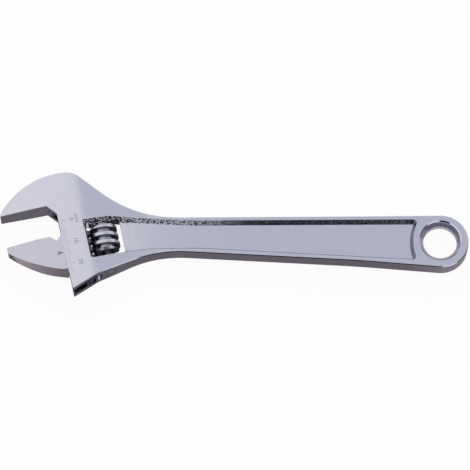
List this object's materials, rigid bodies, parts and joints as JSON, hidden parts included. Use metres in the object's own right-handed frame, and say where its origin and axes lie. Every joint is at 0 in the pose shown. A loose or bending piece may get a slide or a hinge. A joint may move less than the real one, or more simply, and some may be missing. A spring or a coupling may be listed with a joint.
{
  "type": "adjustable wrench",
  "caption": "Adjustable wrench with an angled head, a sliding lower jaw on a keyhole slide, a thumb worm in a through window, and a panelled handle with a hanging hole",
  "frame": {"origin": "centre of the hanging hole, on the wrench's mid-plane", "axes": "+X from the jaws towards the hanging end, +Z square to the flat faces, +Y towards the fixed jaw's back"},
  "size_m": [0.2037, 0.0534, 0.012],
  "materials": {
    "body_steel": "satin chrome plate on a steel forging, as-forged texture in the sunk panels",
    "jaw_steel": "satin chrome plate on a steel forging",
    "worm_steel": "bright chrome plate on turned steel",
    "pin_steel": "turned steel",
    "spring_steel": "drawn spring wire"
  },
  "bodies": {
    "frame": {"body": "body_steel", "worm_pin": "pin_steel", "worm_spring": "spring_steel"},
    "jaw": {"movable_jaw": "jaw_steel"},
    "worm": {"adjusting_worm": "worm_steel"}
  },
  "joints": [
    {"name": "jaw_slide", "type": "slide", "parent": "frame", "child": "jaw", "axis": [0.2419, -0.9703, 0], "range_m": [-0.0143, 0.00965]},
    {"name": "worm_spin", "type": "hinge", "parent": "frame", "child": "worm", "pos_m": [-0.14569, -0.00146, 0], "axis": [0.2419, -0.9703, 0], "range_deg": [-1406.7, 949.3]}
  ],
  "couplings": [
    {"joint": "worm_spin", "follows": "jaw_slide", "rad_per_m": 1716.7}
  ]
}
